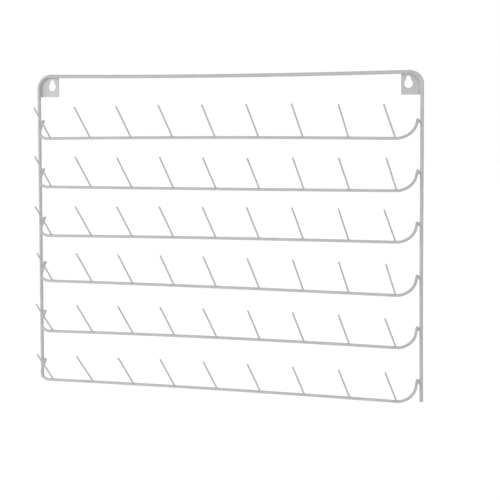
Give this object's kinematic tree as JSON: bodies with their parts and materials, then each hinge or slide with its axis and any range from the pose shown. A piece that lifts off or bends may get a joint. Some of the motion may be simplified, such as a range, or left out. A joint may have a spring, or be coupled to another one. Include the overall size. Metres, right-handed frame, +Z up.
{
  "type": "thread rack",
  "caption": "Wall-hung thread spool rack of welded coated wire: an outer frame with keyhole plates carries rails of forward-slanting pegs.",
  "frame": {"origin": "midway between the two hanging holes, on the wall plane that the backs of the hanger plates lie on", "axes": "+X to the right along the rack's width, +Y into the wall, +Z up; the pegs point towards -Y and +Z"},
  "size_m": [0.4034, 0.0492, 0.3076],
  "materials": {
    "frame_coat": "smooth satin powder coat, light grey, on the heavy outer wire",
    "rail_coat": "smooth satin powder coat, light grey, on the rails",
    "peg_coat": "smooth satin powder coat, light grey, on the thin pegs",
    "plate_coat": "smooth satin powder coat, light grey, on flat sheet",
    "weld_coat": "powder coat over uneven weld beads"
  },
  "bodies": {
    "root": {"outer_frame": "frame_coat", "rail_1": "rail_coat", "pegs_row_1": "peg_coat", "peg_welds_row_1": "weld_coat", "rail_end_welds_row_1": "weld_coat", "rail_2": "rail_coat", "pegs_row_2": "peg_coat", "peg_welds_row_2": "weld_coat", "rail_end_welds_row_2": "weld_coat", "rail_3": "rail_coat", "pegs_row_3": "peg_coat", "peg_welds_row_3": "weld_coat", "rail_end_welds_row_3": "weld_coat", "rail_4": "rail_coat", "pegs_row_4": "peg_coat", "peg_welds_row_4": "weld_coat", "rail_end_welds_row_4": "weld_coat", "rail_5": "rail_coat", "pegs_row_5": "peg_coat", "peg_welds_row_5": "weld_coat", "rail_end_welds_row_5": "weld_coat", "rail_6": "rail_coat", "pegs_row_6": "peg_coat", "peg_welds_row_6": "weld_coat", "rail_end_welds_row_6": "weld_coat", "hanger_plate_left": "plate_coat", "hanger_welds_left": "weld_coat", "hanger_plate_right": "plate_coat", "hanger_welds_right": "weld_coat"}
  },
  "joints": []
}
